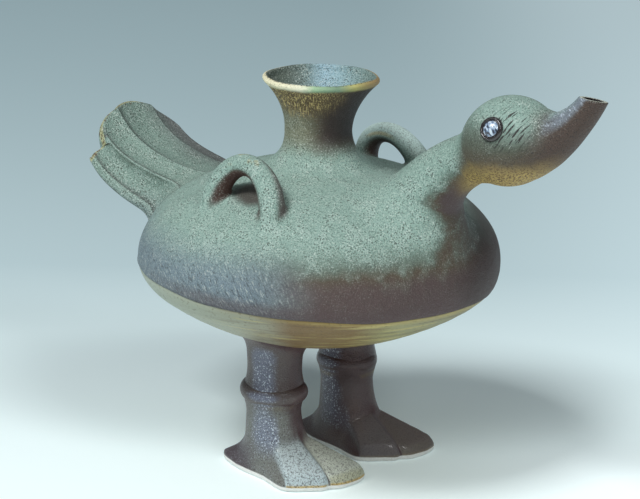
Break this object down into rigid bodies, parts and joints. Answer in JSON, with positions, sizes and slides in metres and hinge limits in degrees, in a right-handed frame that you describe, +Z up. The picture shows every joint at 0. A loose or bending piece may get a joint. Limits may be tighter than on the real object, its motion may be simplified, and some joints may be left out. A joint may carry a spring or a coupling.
{
  "type": "askos vessel",
  "caption": "Duck-shaped ceramic pouring vessel with a round hollow body on webbed feet, a flared filling neck, a beak spout, a fluted fan tail and shoulder loops.",
  "frame": {"origin": "on the floor, under the middle of the length from the tail to the beak", "axes": "+X along the bird's heading to the beak, +Y to the bird's left, +Z up"},
  "size_m": [0.266, 0.164, 0.1917],
  "materials": {
    "ash_glaze": "speckled grey-green ash glaze, satin gloss",
    "beak_glaze": "grey-green glaze thinning to brown at the lip, glossy",
    "underside": "golden-ochre fired clay with throwing lines, satin",
    "leg_slip": "dark purple-brown slip, glossy",
    "foot_glaze": "dark glaze with grey-green toes and a pale bare edge, glossy",
    "eye_glaze": "dark glassy glaze"
  },
  "bodies": {
    "root": {"belly_bowl": "underside", "shoulder_dome": "ash_glaze", "filling_neck": "ash_glaze", "bird_neck": "ash_glaze", "head": "ash_glaze", "beak_spout": "beak_glaze", "right_eye": "eye_glaze", "left_eye": "eye_glaze", "tail_fan": "ash_glaze", "right_loop": "ash_glaze", "left_loop": "ash_glaze", "right_leg": "leg_slip", "left_leg": "leg_slip", "right_ankle_ring": "leg_slip", "left_ankle_ring": "leg_slip", "right_foot": "foot_glaze", "left_foot": "foot_glaze"}
  },
  "joints": []
}
